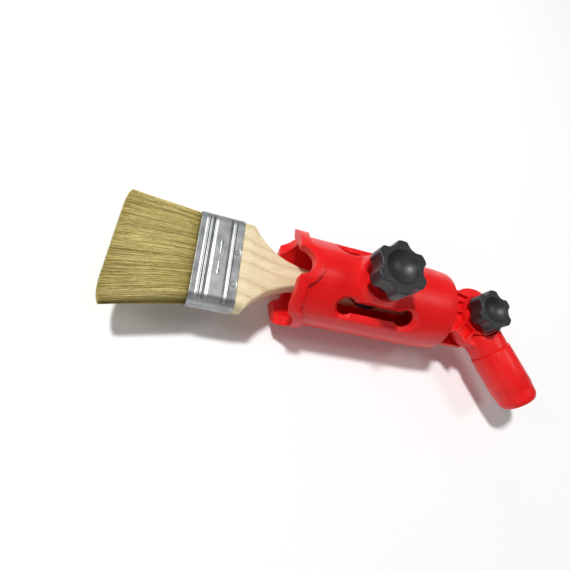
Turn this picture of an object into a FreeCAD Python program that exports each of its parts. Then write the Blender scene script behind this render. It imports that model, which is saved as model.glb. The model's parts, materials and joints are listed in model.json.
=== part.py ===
"""Brush extender: a clamp tube that grips a flat paint brush, on a swivelling pole socket.

Frame of the part: the origin is the centre of the pole socket's mouth, +X runs along the
clamp tube towards the bristles, +Z points out of the two knobs, +Y completes the frame.
All lengths are millimetres and all angles degrees.
"""
import FreeCAD, Part
import math
import os
import re
import Sketcher

os.makedirs("parts", exist_ok=True)
doc = FreeCAD.newDocument("brush_extender")

# ---------------------------------------------------------------- driving dimensions
SIZES = [
    # where the groups stand
    ("rest_swivel", 55.0, "how far the socket stands out of line with the tube at rest"),
    ("socket_reach", 62.0, "swivel axis to the socket's mouth"),
    ("mouth_reach", 136.0, "swivel axis to the tips of the tube's prongs"),
    ("clamp_reach", 85.3, "swivel axis to the clamp screw's axis"),
    ("ferrule_reach", 164.4, "swivel axis to the ferrule's handle end"),
    # clamp tube
    ("tube_radius", 26.0, "outside of the tube"),
    ("tube_bore", 22.8, "inside of the tube"),
    ("mouth_bevel", 1.0, "bevel inside the mouth"),
    ("shoulder_reach", 50.0, "where the tube starts to round down"),
    ("rear_reach", 32.0, "rear face of the tube"),
    ("rear_radius", 25.2, "outside radius at the rear face"),
    ("rear_wall", 3.4, "thickness of the rear wall"),
    ("shoulder_round", 204.0, "radius of the shoulder's arc"),
    ("collar_radius", 28.4, "outside of the raised collar round the mouth"),
    ("collar_band", 5.8, "width of the collar along the rim"),
    ("top_scallop", 8.2, "radius of the scallops above and below"),
    ("side_scallop", 13.8, "radius of the scallops at the sides"),
    ("side_beyond", 6.8, "how far those scallops' centres lie beyond the prongs' tips"),
    ("prong_round", 1.6, "rounding of the prongs' corners"),
    # bone-shaped windows
    ("window_angle", 46.5, "windows either side of the clamp screw"),
    ("window_centre", 83.7, "swivel axis to the middle of a window"),
    ("window_pitch", 38.0, "distance between a window's two round ends"),
    ("window_end", 5.6, "radius of a window's round ends"),
    ("window_waist", 7.3, "width of a window between its ends"),
    ("window_bevel", 2.8, "depth of the bevel round the outside of a window"),
    ("end_flare", 1.3, "how fast the bevel widens round the window's ends"),
    ("outer_flare", 1.8, "how fast it widens on the side away from the clamp screw"),
    ("inner_flare", 0.9, "how fast it widens on the side of the clamp screw"),
    # clamp screw boss and nut
    ("boss_foot", 18.2, "radius of the boss where it leaves the tube"),
    ("boss_low", 19.5, "height of the boss's foot above the tube's axis"),
    ("boss_top", 14.0, "radius of the boss's top"),
    ("boss_height", 28.4, "top of the boss above the tube's axis"),
    ("seat_land", 9.6, "radius of the land in the middle of a ringed seat"),
    ("seat_lip", 1.5, "width of the lip round a ringed seat"),
    ("seat_groove", 1.4, "depth of the groove inside that lip"),
    ("nut_boss", 10.2, "radius of the nut's housing inside the tube"),
    ("nut_floor", 19.8, "underside of the nut above the tube's axis"),
    ("nut_height", 6.3, "thickness of the clamp nut"),
    ("nut_flats", 13.0, "width across the flats of the clamp nut"),
    ("stud_radius", 4.0, "clamp stud, M8"),
    ("thread_play", 0.06, "radial play of a screw in its nut"),
    ("clear_play", 0.35, "radial play of a clearance hole"),
    # ears of the tube
    ("ear_gap", 5.0, "half of the gap between the ears"),
    ("ear_floor", 6.4, "bottom of the pockets above the mid plane"),
    ("ear_rib", 9.0, "top of the ribs above the mid plane"),
    ("ring_radius", 14.0, "radius of the round seat about the swivel axis"),
    ("ring_top", 10.0, "top of the round seat above the mid plane"),
    ("rib_width", 1.7, "thickness of the ribs"),
    ("ear_half_width", 17.0, "half width of the ears where they leave the tube"),
    ("spoke_angle", 46.0, "direction of the box spoke"),
    ("spoke_width", 10.2, "outside width of the box spoke"),
    ("spoke_reach", 24.6, "outer end of the box spoke"),
    ("rib_offset", 7.6, "side rib's distance from the middle rib"),
    ("flank_half_width", 19.4, "half width of the lower ear's flank"),
    ("flank_end", 4.6, "where the flank's straight edge ends"),
    ("flank_foot", 8.6, "where the flank meets the round seat"),
    ("flank_foot_width", 12.0, "half width there"),
    # cradle under the handle
    ("cradle_half_gap", 6.5, "half the distance between the cradle's rails"),
    ("cradle_width", 2.4, "thickness of a cradle rail"),
    ("cradle_length", 30.0, "length of the cradle's rails"),
    # swivel bolt, washers and knob
    ("bolt_radius", 3.0, "swivel bolt, M6"),
    ("bolt_square", 6.4, "square neck of the bolt"),
    ("bolt_head", 8.0, "radius of the bolt's domed head"),
    ("bolt_dome", 3.4, "height of the bolt's domed head"),
    ("bolt_top", 16.6, "upper end of the bolt above the mid plane"),
    ("pin_play", 0.05, "radial play of the bolt in the swivel holes"),
    ("friction_washer", 12.0, "radius of the friction washers"),
    ("friction_thick", 0.7, "thickness of the friction washers"),
    ("face_play", 0.06, "play between faces that slide"),
    ("washer_radius", 8.5, "radius of the flat washer under the swivel knob"),
    ("washer_thick", 1.2, "thickness of that washer"),
    # knobs
    ("clamp_knob_radius", 15.8, "over the lobes of the clamp knob"),
    ("clamp_knob_bottom", 35.6, "underside of the clamp knob's lobes"),
    ("clamp_knob_top", 46.4, "face of the clamp knob"),
    ("clamp_hub", 8.6, "radius of the clamp knob's hub"),
    ("clamp_hub_bottom", 29.2, "underside of the clamp knob's hub"),
    ("swivel_knob_radius", 13.3, "over the lobes of the swivel knob"),
    ("swivel_knob_bottom", 12.8, "underside of the swivel knob's lobes"),
    ("swivel_knob_top", 22.4, "face of the swivel knob"),
    ("swivel_hub", 7.4, "radius of the swivel knob's hub"),
    ("valley_reach", 1.24, "distance of the knobs' valleys, as a share of their radius"),
    ("valley_size", 0.43, "radius of the valleys, as a share of the knob's radius"),
    ("lobe_round", 0.13, "rounding of the lobes, as a share of the knob's radius"),
    ("dish_size", 0.64, "radius of the dished face, as a share of the knob's radius"),
    ("dish_depth", 0.5, "depth of the dish, as a share of its radius"),
    ("stud_top", 40.0, "upper end of the stud above the tube's axis"),
    ("knob_edge", 0.9, "rounding of the knobs' edges"),
    ("insert_radius", 5.2, "radius of the swivel knob's threaded insert"),
    ("insert_height", 5.0, "height of that insert"),
    ("core_radius", 6.2, "radius of the clamp knob's steel core"),
    ("core_height", 7.0, "height of that core"),
    # pressure pad
    ("pad_radius", 11.8, "radius of the pressure pad"),
    ("pad_thick", 3.6, "thickness of the pressure pad"),
    ("facing_thick", 1.2, "thickness of the rubber facing"),
    ("pad_play", 0.3, "gap between the facing and the handle"),
    ("clip_radius", 6.0, "radius of the retaining clip"),
    ("clip_thick", 0.8, "thickness of the retaining clip"),
    # brush
    ("brush_shift", 0.8, "how far the brush lies to one side of the tube's axis"),
    ("handle_half_thick", 6.2, "half thickness of the handle's neck"),
    ("grip_half_thick", 4.2, "half thickness of the handle's tail"),
    ("grip_start", 107.0, "where the handle has thinned to that"),
    ("handle_tenon", 9.0, "length of the handle inside the ferrule"),
    ("handle_edge", 1.8, "rounding of the handle's long edges"),
    ("hang_hole", 3.0, "radius of the handle's hang hole"),
    ("neck_reach", 120.0, "swivel axis to the handle's narrowest place"),
    ("neck_half_width", 5.6, "half width there"),
    ("handle_sweep", 47.6, "radius of the handle's hollow sides"),
    ("neck_run", 8.0, "how far the hollow sides run on past the narrowest place"),
    ("grip_reach", 88.0, "swivel axis to the handle's widest place in the tube"),
    ("grip_half_width", 8.0, "half width there"),
    ("grip_sweep", 124.0, "radius of the sides between the hollow and the grip"),
    ("tail_sweep", 1100.0, "radius of the sides along the grip"),
    ("tail_reach", 54.0, "swivel axis to the start of the handle's round end"),
    ("tail_half_width", 6.6, "half width there"),
    ("tail_round", 7.4, "radius of the handle's round end"),
    ("face_sweep", 110.0, "radius of the handle's faces between the block and the neck"),
    ("block_reach", 159.6, "swivel axis to the handle's full width"),
    ("handle_fit", 0.6, "how much narrower the handle's block is than the ferrule"),
    ("hang_hole_reach", 58.0, "swivel axis to the hang hole"),
    ("ferrule_length", 24.9, "length of the ferrule"),
    ("ferrule_half_width", 27.4, "half width of the ferrule"),
    ("ferrule_half_thick", 8.5, "half thickness of the ferrule"),
    ("ferrule_corner", 6.0, "corner radius of the ferrule"),
    ("sheet_metal", 0.6, "thickness of the ferrule's metal"),
    ("ridge_rise", 0.45, "height of the ferrule's ridges"),
    ("nail_radius", 1.1, "radius of the ferrule nails' heads"),
    ("nail_length", 5.0, "length of the ferrule nails"),
    ("epoxy_length", 7.0, "depth of the epoxy that holds the bristles"),
    ("bristle_reach", 231.6, "swivel axis to the bristles' tips"),
    ("bristle_flare", 7.3, "how far the bristles spread to each side"),
    ("bristle_lean", 2.6, "how far the tips lean to one side"),
    ("bristle_skew", 1.7, "how much longer the bristles are on that side than in the middle"),
    ("bristle_tip_half", 5.6, "half thickness of the chiselled tip"),
    ("divider_half_width", 19.0, "half width of the bristle divider"),
    ("divider_thick", 2.4, "thickness of the bristle divider"),
    ("divider_length", 13.0, "length of the bristle divider"),
    # pole socket
    ("disc_radius", 20.4, "radius of the swivel disc"),
    ("disc_half_thick", 4.18, "half thickness of the swivel disc"),
    ("neck_radius", 12.6, "radius of the socket's neck"),
    ("neck_start", 9.4, "where the neck's full thickness may start"),
    ("neck_hollow", 14.6, "radius of the hollow that clears the ears' seats"),
    ("seam_reach", 24.6, "swivel axis to the shallow seam"),
    ("sleeve_radius", 13.3, "outside of the threaded sleeve"),
    ("taper_reach", 52.0, "swivel axis to the start of the end taper"),
    ("taper_radius", 11.9, "outside radius at the mouth"),
    ("seam_groove", 0.5, "depth of the shallow seam"),
    ("thread_major", 9.55, "wall radius of the 3/4 inch pole thread"),
    ("thread_depth", 34.0, "depth of the pole thread"),
]

ORIGIN_X = "socket_reach * cos(rest_swivel)"
ORIGIN_Y = "-socket_reach * sin(rest_swivel)"
FAR = "100"


def make_sheet():
    """The spreadsheet that holds every driving dimension."""
    page = doc.addObject("Spreadsheet::Sheet", "size")
    for row, (alias, number, note) in enumerate(SIZES, start=1):
        page.set("A%d" % row, alias)
        page.set("B%d" % row, repr(number))
        page.set("C%d" % row, note)
        page.setAlias("B%d" % row, alias)
    doc.recompute()
    return page


sheet = make_sheet()
ALIASES = {alias for alias, _, _ in SIZES}


def ex(text):
    """A FreeCAD expression in which every alias is looked up in the sheet."""
    return re.sub(r"[a-z_]+", lambda m: "size." + m.group() if m.group() in ALIASES else m.group(), text)


def number(text):
    """The present value of such an expression."""
    result = sheet.evalExpression(ex(text))
    return float(getattr(result, "Value", result))


def bind(thing, **properties):
    """Tie properties to expressions; two underscores stand for a dot."""
    for name, text in properties.items():
        thing.setExpression(name.replace("__", "."), ex(text))
    return thing


# ---------------------------------------------------------------- Part helpers
def place(thing, x="0", y="0", z="0", axis=None, turn="0"):
    """Put an object somewhere, optionally turned about an axis."""
    if axis is not None:
        thing.Placement = FreeCAD.Placement(FreeCAD.Vector(), FreeCAD.Rotation(FreeCAD.Vector(*axis), 1))
        thing.setExpression("Placement.Rotation.Angle", ex(turn))
    bind(thing, Placement__Base__x=x, Placement__Base__y=y, Placement__Base__z=z)
    return thing


def box(name, x, y, z, length, width, height):
    """A box from its lowest corner."""
    thing = doc.addObject("Part::Box", name)
    bind(thing, Length=length, Width=width, Height=height)
    return place(thing, x, y, z)


def rod(name, radius, length, start=("0", "0", "0"), along="z"):
    """A cylinder that starts at a point and runs along an axis."""
    thing = doc.addObject("Part::Cylinder", name)
    bind(thing, Radius=radius, Height=length)
    turns = {"z": (None, "0"), "x": ((0, 1, 0), "90"), "y": ((1, 0, 0), "-90")}
    return place(thing, *start, *turns[along])


def cone(name, first, last, length, start):
    """An upright cone from its foot."""
    thing = doc.addObject("Part::Cone", name)
    bind(thing, Radius1=first, Radius2=last, Height=length)
    return place(thing, *start)


def hexagon(name, flats, height, start):
    """A hexagonal prism, given across its flats."""
    thing = doc.addObject("Part::Prism", name)
    thing.Polygon = 6
    bind(thing, Circumradius="%s / 2 / cos(30)" % flats, Height=height)
    return place(thing, *start)


def fuse(name, *pieces):
    """One solid out of several that touch."""
    thing = doc.addObject("Part::MultiFuse", name)
    thing.Shapes = list(pieces)
    thing.Refine = True
    return thing


def cut(name, base, *tools):
    """A solid with others taken away."""
    tool = tools[0] if len(tools) == 1 else fuse(name + "_tools", *tools)
    thing = doc.addObject("Part::Cut", name)
    thing.Base = base
    thing.Tool = tool
    thing.Refine = True
    return thing


def common(name, *pieces):
    """What several solids share."""
    thing = doc.addObject("Part::MultiCommon", name)
    thing.Shapes = list(pieces)
    thing.Refine = True
    return thing


def group(name, *pieces):
    """Separate solids kept in one node."""
    thing = doc.addObject("Part::Compound", name)
    thing.Links = list(pieces)
    return thing


def edge_work(kind, name, base, chosen, size):
    """Fillet or chamfer the edges of a solid that a test picks out."""
    doc.recompute()
    thing = doc.addObject("Part::" + kind, name)
    thing.Base = base
    edges = [i for i, edge in enumerate(base.Shape.Edges, start=1) if chosen(edge)]
    thing.Edges = [(i, number(size), number(size)) for i in edges]
    return thing


# ---------------------------------------------------------------- PartDesign helpers
def body(name):
    """A PartDesign body for one piece."""
    return doc.addObject("PartDesign::Body", name)


def sketch(owner, name, role, lift="0"):
    """A sketch on one of the body's own origin planes, lifted off it by an expression."""
    thing = owner.newObject("Sketcher::SketchObject", name)
    plane = [f for f in owner.Origin.OriginFeatures if f.Role == role][0]
    thing.AttachmentSupport = [(plane, "")]
    thing.MapMode = "FlatFace"
    thing.setExpression("AttachmentOffset.Base.z", ex(lift))
    return thing


def hold(thing, kind, name, text, *where):
    """One dimension of a sketch, tied to the sheet."""
    index = thing.addConstraint(Sketcher.Constraint(kind, *where, number(text)))
    thing.renameConstraint(index, name)
    thing.setExpression("Constraints." + name, ex(text))


def outline(thing, points):
    """A closed outline. A point is (x, y), or (x, y, radius) where an arc follows it.

    The arc bulges to the left of the way to the next point if its radius is positive.
    """
    spots = [FreeCAD.Vector(number(p[0]), number(p[1]), 0) for p in points]
    first = thing.GeometryCount
    for i, point in enumerate(points):
        start, end = spots[i], spots[(i + 1) % len(points)]
        if len(point) == 2:
            thing.addGeometry(Part.LineSegment(start, end), False)
        else:
            thing.addGeometry(Part.Arc(start, bulge(start, end, number(point[2])), end), False)
    for i, point in enumerate(points):
        tag = "%d" % (first + i)
        here = begin(thing, first + i, spots[i])
        hold(thing, "DistanceX", "across" + tag, point[0], -1, 1, first + i, here)
        hold(thing, "DistanceY", "up" + tag, point[1], -1, 1, first + i, here)
        after = first + (i + 1) % len(points)
        joint = spots[(i + 1) % len(points)]
        ends = (first + i, 3 - here, after, begin(thing, after, joint))
        thing.addConstraint(Sketcher.Constraint("Coincident", *ends))
        if len(point) == 3:
            hold(thing, "Radius", "round" + tag, point[2].lstrip("-"), first + i)


def bulge(start, end, radius):
    """The middle of an arc between two points."""
    chord = end - start
    half = chord.Length / 2
    rise = abs(radius) - math.sqrt(radius * radius - half * half)
    left = FreeCAD.Vector(-chord.y, chord.x, 0).normalize()
    return (start + end) / 2 + left * math.copysign(rise, radius)


def begin(thing, index, spot):
    """Which end of a sketch edge lies at a point: 1 or 2."""
    return 1 if (thing.getPoint(index, 1) - spot).Length < 1e-6 else 2


def ring(thing, name, x, y, radius):
    """A circle in a sketch."""
    centre = FreeCAD.Vector(number(x), number(y), 0)
    index = thing.addGeometry(Part.Circle(centre, FreeCAD.Vector(0, 0, 1), number(radius)), False)
    hold(thing, "DistanceX", name + "_x", x, -1, 1, index, 3)
    hold(thing, "DistanceY", name + "_y", y, -1, 1, index, 3)
    hold(thing, "Radius", name + "_r", radius, index)


def pad(owner, name, profile, length, midplane=False):
    """A sketch pulled out into a solid."""
    thing = owner.newObject("PartDesign::Pad", name)
    thing.Profile = profile
    thing.SideType = "Symmetric" if midplane else "One side"
    return bind(thing, Length=length)


def pocket(owner, name, profile, length, upwards=False, midplane=False):
    """A sketch cut into a solid, downwards unless it says upwards."""
    thing = owner.newObject("PartDesign::Pocket", name)
    thing.Profile = profile
    thing.SideType = "Symmetric" if midplane else "One side"
    thing.Reversed = upwards
    return bind(thing, Length=length)


def turned(owner, name, kind, profile, axis):
    """A revolution or a groove about one of the sketch's axes."""
    thing = owner.newObject("PartDesign::" + kind, name)
    thing.Profile = profile
    thing.ReferenceAxis = (profile, [axis])
    thing.Angle = 360
    return thing


def rounded(owner, name, kind, feature, chosen, size):
    """A PartDesign fillet or chamfer on the edges that a test picks out."""
    doc.recompute()
    thing = owner.newObject("PartDesign::" + kind, name)
    edges = ["Edge%d" % i for i, edge in enumerate(feature.Shape.Edges, start=1) if chosen(edge)]
    thing.Base = (feature, edges)
    return bind(thing, **{"Radius" if kind == "Fillet" else "Size": size})


# ---------------------------------------------------------------- clamp tube
def tube_shell():
    """The turned shell of the clamp tube, closed at the rear."""
    owner = body("tube_shell")
    profile = sketch(owner, "tube_profile", "XZ_Plane")
    outline(profile, [
        ("mouth_reach", "tube_bore + mouth_bevel"),
        ("mouth_reach", "tube_radius"),
        ("shoulder_reach", "tube_radius", "-shoulder_round"),
        ("rear_reach", "rear_radius"),
        ("rear_reach", "0"),
        ("rear_reach + rear_wall", "0"),
        ("rear_reach + rear_wall", "rear_radius - rear_wall"),
        ("shoulder_reach", "tube_bore"),
        ("mouth_reach - mouth_bevel", "tube_bore"),
    ])
    turned(owner, "tube_turned", "Revolution", profile, "H_Axis")
    return owner


def top_bar(name, radius):
    """A round bar down through the mouth, centred on the prongs' tips."""
    return rod(name, radius, "2 * " + FAR, ("mouth_reach", "0", "-" + FAR), "z")


def side_bar(name, radius):
    """A round bar across the mouth, centred beyond the prongs' tips."""
    return rod(name, radius, "2 * " + FAR, ("mouth_reach + side_beyond", "-" + FAR, "0"), "y")


def collar():
    """The raised collar: a sleeve kept only within a band's width of the scalloped rim."""
    reach = "top_scallop + 2 * collar_band"
    sleeve = rod("collar_sleeve", "collar_radius", reach, ("mouth_reach - (%s)" % reach, "0", "0"), "x")
    inside = rod("collar_inside", "tube_radius - 0.4", reach, ("mouth_reach - (%s)" % reach, "0", "0"), "x")
    shell = cut("collar_shell", sleeve, inside)
    lip = rod("collar_lip", "collar_radius", "collar_band", ("mouth_reach - collar_band", "0", "0"), "x")
    bands = [
        top_bar("top_band", "top_scallop + collar_band"),
        side_bar("side_band", "side_scallop + collar_band"),
    ]
    return common("collar", shell, fuse("collar_zone", lip, *bands))


def window(name, side):
    """A bone-shaped bar that pierces the wall beside the clamp screw, and opens out at the skin."""
    low = "tube_bore - 6"
    bevel_low = "tube_radius - window_bevel"
    solids = []
    for i, sign in enumerate("+-"):
        spot = (f"window_centre {sign} window_pitch / 2", "0")
        solids.append(rod("%s_end%d" % (name, i), "window_end", "20", (*spot, low)))
        flare = ("window_end", "window_end + 4 * end_flare", "4")
        solids.append(cone("%s_bevel%d" % (name, i), *flare, (*spot, bevel_low)))
    owner = body(name + "_waist")
    section = sketch(owner, name + "_section", "YZ_Plane", "window_centre - window_pitch / 2")
    flares = ("inner_flare", "outer_flare") if side > 0 else ("outer_flare", "inner_flare")
    outline(section, [
        ("-window_waist / 2", low),
        ("window_waist / 2", low),
        ("window_waist / 2", bevel_low),
        ("window_waist / 2 + 4 * " + flares[0], bevel_low + " + 4"),
        ("window_waist / 2 + 4 * " + flares[0], bevel_low + " + 10"),
        ("-window_waist / 2 - 4 * " + flares[1], bevel_low + " + 10"),
        ("-window_waist / 2 - 4 * " + flares[1], bevel_low + " + 4"),
        ("-window_waist / 2", bevel_low),
    ])
    pad(owner, name + "_bar", section, "window_pitch")
    bone = fuse(name, owner, *solids)
    return place(bone, axis=(1, 0, 0), turn="%d * window_angle" % side)


def clamp_boss():
    """The boss of the clamp screw, outside and inside the wall."""
    foot = ("clamp_reach", "0", "boss_low")
    blank = cone("boss_blank", "boss_foot", "boss_top", "boss_height - boss_low", foot)
    bore = rod("boss_bore", "tube_bore", "4 * boss_foot", ("clamp_reach - 2 * boss_foot", "0", "0"), "x")
    depth = "tube_radius - nut_floor - 1"
    inner = rod("boss_inner", "nut_boss", depth, ("clamp_reach", "0", "nut_floor"))
    return [cut("boss_outer", blank, bore), inner]


def seat_ring(name, lip_radius, top, reach):
    """The groove between a seat's lip and the land in its middle."""
    start = (reach, "0", "%s - seat_groove" % top)
    outer = rod(name + "_groove", "%s - seat_lip" % lip_radius, "seat_groove + 1", start)
    return cut(name, outer, rod(name + "_land", "seat_land", "seat_groove + 2", start))


def nut_seat():
    """The nut's hexagonal pocket and the stud's clearance hole above it."""
    seat = hexagon("nut_seat", "nut_flats", "nut_height", ("clamp_reach", "0", "nut_floor"))
    hole = rod("stud_hole", "stud_radius + clear_play", "20", ("clamp_reach", "0", "nut_floor"))
    return [seat, hole]


def cradle():
    """Two rails under the handle that keep it on the tube's axis."""
    rails = []
    for i, place_y in enumerate(("cradle_half_gap", "-cradle_half_gap - cradle_width")):
        rails.append(box("rail%d" % i, "clamp_reach - cradle_length / 2", place_y, "-tube_radius + 1",
                         "cradle_length", "cradle_width", "tube_radius - 1 - grip_half_thick - pad_play"))
    return rails


def ear_plan(name, low, high, inset):
    """The ears' outline between two heights, drawn in by an inset: a web and a box spoke."""
    owner = body(name)
    web = sketch(owner, name + "_web", "XY_Plane", low)
    outline(web, [
        ("rear_reach + 1.5", "-ear_half_width + %s" % inset),
        ("rear_reach + 1.5", "ear_half_width - %s" % inset),
        ("0", "ring_radius - 2.8 - %s" % inset),
        ("0", "-ring_radius + 2.8 + %s" % inset),
    ])
    pad(owner, name + "_pad", web, "%s - %s" % (high, low))
    return owner


def spoke(name, low, high, inset):
    """The box spoke, turned to its direction about the swivel axis."""
    bar = box(name + "_bar", "0", "-spoke_width / 2 + " + inset, low, "spoke_reach - " + inset,
              "spoke_width - 2 * " + inset, "%s - %s" % (high, low))
    holder = fuse(name, bar, rod(name + "_root", "4", "%s - %s" % (high, low), ("0", "0", low)))
    return place(holder, axis=(0, 0, 1), turn="spoke_angle")


def flank(name, low, high, inset):
    """The plate that carries the lower ear out to the side of the tube."""
    owner = body(name)
    edge = sketch(owner, name + "_edge", "XY_Plane", low)
    outline(edge, [
        ("rear_reach + 1.5", "%s" % inset),
        ("rear_reach + 1.5", "flank_half_width - %s" % inset),
        ("flank_end + %s" % inset, "flank_half_width - %s" % inset),
        ("flank_foot + %s" % inset, "flank_foot_width"),
        ("flank_foot + %s" % inset, "%s" % inset),
    ])
    pad(owner, name + "_pad", edge, "%s - %s" % (high, low))
    return owner


def ear(name, wing):
    """An ear: a ribbed plate with a wing on one side and a round seat for the swivel."""
    plate = fuse(name + "_plate", ear_plan(name + "_plan", "ear_gap", "ear_rib", "0"),
                 wing(name + "_wing", "ear_gap", "ear_rib", "0"))
    web_room = ear_plan(name + "_web_room", "ear_floor", "ear_rib + 1", "rib_width")
    box_walls = cut(name + "_box_walls", wing(name + "_wall", "ear_gap", "ear_rib", "0"),
                    wing(name + "_wall_room", "ear_floor", "ear_rib + 1", "rib_width"))
    box_room = wing(name + "_box_room", "ear_floor", "ear_rib + 1", "rib_width")
    ribs = [box("%s_rib%d" % (name, i), "0", y + " - rib_width / 2", "ear_gap", "rear_reach + 1.5",
                "rib_width", "ear_rib - ear_gap")
            for i, y in enumerate(("0", "-rib_offset"))]
    seat = rod(name + "_seat", "ring_radius", "ring_top - ear_gap", ("0", "0", "ear_gap"))
    ribbed = fuse(name + "_ribbed", cut(name + "_pockets", plate, web_room), box_walls, *ribs)
    return fuse(name, cut(name + "_open_box", ribbed, box_room), seat)


def mirrored(name, source):
    """A copy on the other side of the mid plane."""
    thing = doc.addObject("Part::Mirroring", name)
    thing.Source = source
    thing.Normal = FreeCAD.Vector(0, 0, 1)
    return thing


def clamp_tube():
    """The moulded clamp tube with its collar, windows, boss, cradle and ears."""
    upper_ear = ear("upper_ear", spoke)
    lower_ear = mirrored("lower_ear", ear("under_ear", flank))
    solid = fuse("tube_solid", tube_shell(), collar(), *clamp_boss(), *cradle(), upper_ear, lower_ear)
    holes = [
        top_bar("top_notch", "top_scallop"),
        side_bar("side_notch", "side_scallop"),
        window("left_window", 1),
        window("right_window", -1),
        *nut_seat(),
        seat_ring("boss_ring", "boss_top", "boss_height", "clamp_reach"),
        seat_ring("ear_ring", "ring_radius", "ring_top", "0"),
        rod("bolt_hole", "bolt_radius + clear_play", "ring_top + 2", ("0", "0", "0")),
        box("bolt_square_hole", "-bolt_square / 2", "-bolt_square / 2", "-ring_top - 1",
            "bolt_square", "bolt_square", "ring_top + 1"),
    ]
    pierced = cut("tube_pierced", solid, *holes)
    return edge_work("Fillet", "clamp_tube", pierced, prong_corner, "prong_round")


def prong_corner(edge):
    """True for an edge between a prong's tip and its side."""
    at_tip = all(abs(v.Point.x - number("mouth_reach")) < 1e-4 for v in edge.Vertexes)
    return at_tip and len(edge.Vertexes) == 2 and edge.Curve.TypeId == "Part::GeomLine"


# ---------------------------------------------------------------- clamp screw
def clamp_nut():
    """The nut that sits in the tube's boss."""
    blank = hexagon("nut_blank", "nut_flats", "nut_height", ("clamp_reach", "0", "nut_floor"))
    start = ("clamp_reach", "0", "nut_floor - 1")
    bore = rod("nut_bore", "stud_radius + thread_play", "nut_height + 2", start)
    return cut("clamp_nut", blank, bore)


def star_knob(name, radius, bottom, top, hub, hub_bottom):
    """A six-lobed knob with a dished face and a hub, about its own axis."""
    height = "%s - %s" % (top, bottom)
    owner = body(name + "_lobed")
    rim = sketch(owner, name + "_rim", "XY_Plane", bottom)
    ring(rim, "rim", "0", "0", radius)
    pad(owner, name + "_disc", rim, height)
    valley = sketch(owner, name + "_valley", "XY_Plane", top)
    ring(valley, "valley", radius + " * valley_reach", "0", radius + " * valley_size")
    notch = pocket(owner, name + "_notch", valley, height + " + 1")
    doc.recompute()
    lobes = owner.newObject("PartDesign::PolarPattern", name + "_lobes")
    lobes.Originals = [notch]
    lobes.Axis = (rim, ["N_Axis"])
    lobes.Angle = 360
    lobes.Occurrences = 6
    owner.Tip = lobes
    corners = rounded(owner, name + "_corners", "Fillet", lobes, upright, radius + " * lobe_round")
    flats = rounded(owner, name + "_soft", "Fillet", corners, lambda e: not upright(e), "knob_edge")
    owner.Tip = flats
    stem = rod(name + "_stem", hub, "%s - %s + 1" % (bottom, hub_bottom), ("0", "0", hub_bottom))
    dish = doc.addObject("Part::Sphere", name + "_dish")
    rise = "%s * dish_size * (1 / dish_depth - dish_depth) / 2" % radius
    bind(dish, Radius="%s * dish_size * (1 / dish_depth + dish_depth) / 2" % radius)
    place(dish, "0", "0", "%s + %s" % (top, rise))
    return cut(name + "_blank", fuse(name + "_full", owner, stem), dish)


def upright(edge):
    """True for an edge that runs along Z."""
    ends = edge.Vertexes
    return len(ends) == 2 and (ends[0].Point - ends[1].Point).cross(FreeCAD.Vector(0, 0, 1)).Length < 1e-6


def clamp_knob():
    """The large knob, moulded round its steel core and stud."""
    blank = star_knob("big", "clamp_knob_radius", "clamp_knob_bottom", "clamp_knob_top",
                      "clamp_hub", "clamp_hub_bottom")
    core_room = rod("core_room", "core_radius", "core_height", ("0", "0", "clamp_hub_bottom"))
    stud_room = rod("stud_room", "stud_radius", "stud_top - clamp_hub_bottom", ("0", "0", "clamp_hub_bottom"))
    return cut("clamp_knob", blank, core_room, stud_room)


def clamp_knob_core():
    """The steel core that the stud is fixed in."""
    blank = rod("core_blank", "core_radius", "core_height", ("0", "0", "clamp_hub_bottom"))
    bore = rod("core_bore", "stud_radius", "core_height + 2", ("0", "0", "clamp_hub_bottom - 1"))
    return cut("clamp_knob_core", blank, bore)


PAD_BOTTOM = "grip_half_thick + pad_play + facing_thick"


def clamp_stud():
    """The threaded stud, with a groove for the clip near its lower end."""
    foot = "%s + 1.2" % PAD_BOTTOM
    owner = body("clamp_stud")
    profile = sketch(owner, "stud_profile", "XZ_Plane")
    groove = "%s + pad_thick" % PAD_BOTTOM
    outline(profile, [
        ("0", foot),
        ("stud_radius - 1", foot),
        ("stud_radius", foot + " + 1"),
        ("stud_radius", groove + " - 0.3"),
        ("stud_radius - 0.8", groove + " - 0.3"),
        ("stud_radius - 0.8", groove + " + clip_thick + 0.3"),
        ("stud_radius", groove + " + clip_thick + 0.3"),
        ("stud_radius", "stud_top"),
        ("0", "stud_top"),
    ])
    turned(owner, "stud_turned", "Revolution", profile, "V_Axis")
    return owner


def pressure_pad():
    """The round pad that presses on the handle and doesn't turn with the stud."""
    owner = body("pressure_pad")
    profile = sketch(owner, "pad_profile", "XZ_Plane")
    top = "%s + pad_thick" % PAD_BOTTOM
    outline(profile, [
        ("0", PAD_BOTTOM),
        ("pad_radius", PAD_BOTTOM),
        ("pad_radius", top + " - 1.4"),
        ("pad_radius - 1", top + " - 0.4"),
        ("clip_radius + 0.4", top + " - 0.4"),
        ("clip_radius + 0.4", top),
        ("stud_radius + thread_play", top),
        ("stud_radius + thread_play", PAD_BOTTOM + " + 1.1"),
        ("0", PAD_BOTTOM + " + 1.1"),
    ])
    turned(owner, "pad_turned", "Revolution", profile, "V_Axis")
    return owner


def pad_facing():
    """The rubber facing under the pad."""
    foot = ("0", "0", "grip_half_thick + pad_play")
    blank = rod("facing_blank", "pad_radius - 0.4", "facing_thick", foot)
    underside = number(PAD_BOTTOM) - 0.5
    return edge_work("Fillet", "pad_facing", blank, lambda e: e.BoundBox.ZMax < underside, "0.5")


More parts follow.
